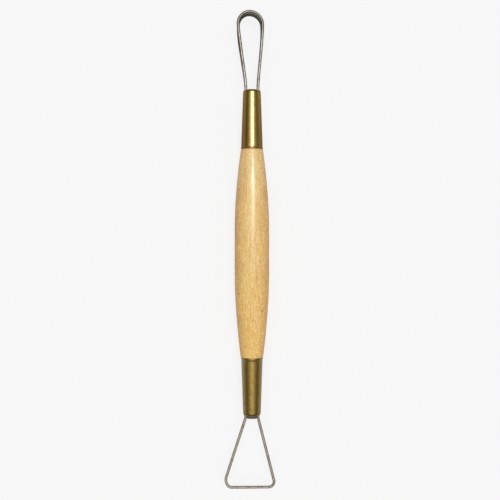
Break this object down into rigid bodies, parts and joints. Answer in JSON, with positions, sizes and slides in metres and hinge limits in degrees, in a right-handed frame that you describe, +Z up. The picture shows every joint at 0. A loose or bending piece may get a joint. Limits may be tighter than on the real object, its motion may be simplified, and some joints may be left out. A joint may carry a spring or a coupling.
{
  "type": "double-ended wire tool",
  "caption": "Clay-trimming hand tool: turned wooden handle with brass ferrules, a pear-shaped steel loop with a band-like crown at one end and a steel wire triangle at the other.",
  "frame": {"origin": "under the middle of the handle, on the surface that the tool lies on", "axes": "+X along the tool towards the pear loop, +Y across it in the plane of both wires, +Z up, square to that plane"},
  "size_m": [0.2036, 0.0218, 0.0144],
  "materials": {
    "lacquered_wood": "clear satin lacquer over pale straight-grained hardwood",
    "loop_brass": "satin, with fine grain",
    "triangle_brass": "dull satin, slightly tarnished",
    "loop_steel": "drawn, fairly bright",
    "triangle_steel": "dull warm grey",
    "adhesive": "set dark resin, slightly glossy"
  },
  "bodies": {
    "root": {"handle": "lacquered_wood", "loop_ferrule": "loop_brass", "cutting_loop": "loop_steel", "loop_end_filler": "adhesive", "triangle_ferrule": "triangle_brass", "triangle_wire": "triangle_steel", "triangle_end_filler": "adhesive"}
  },
  "joints": []
}
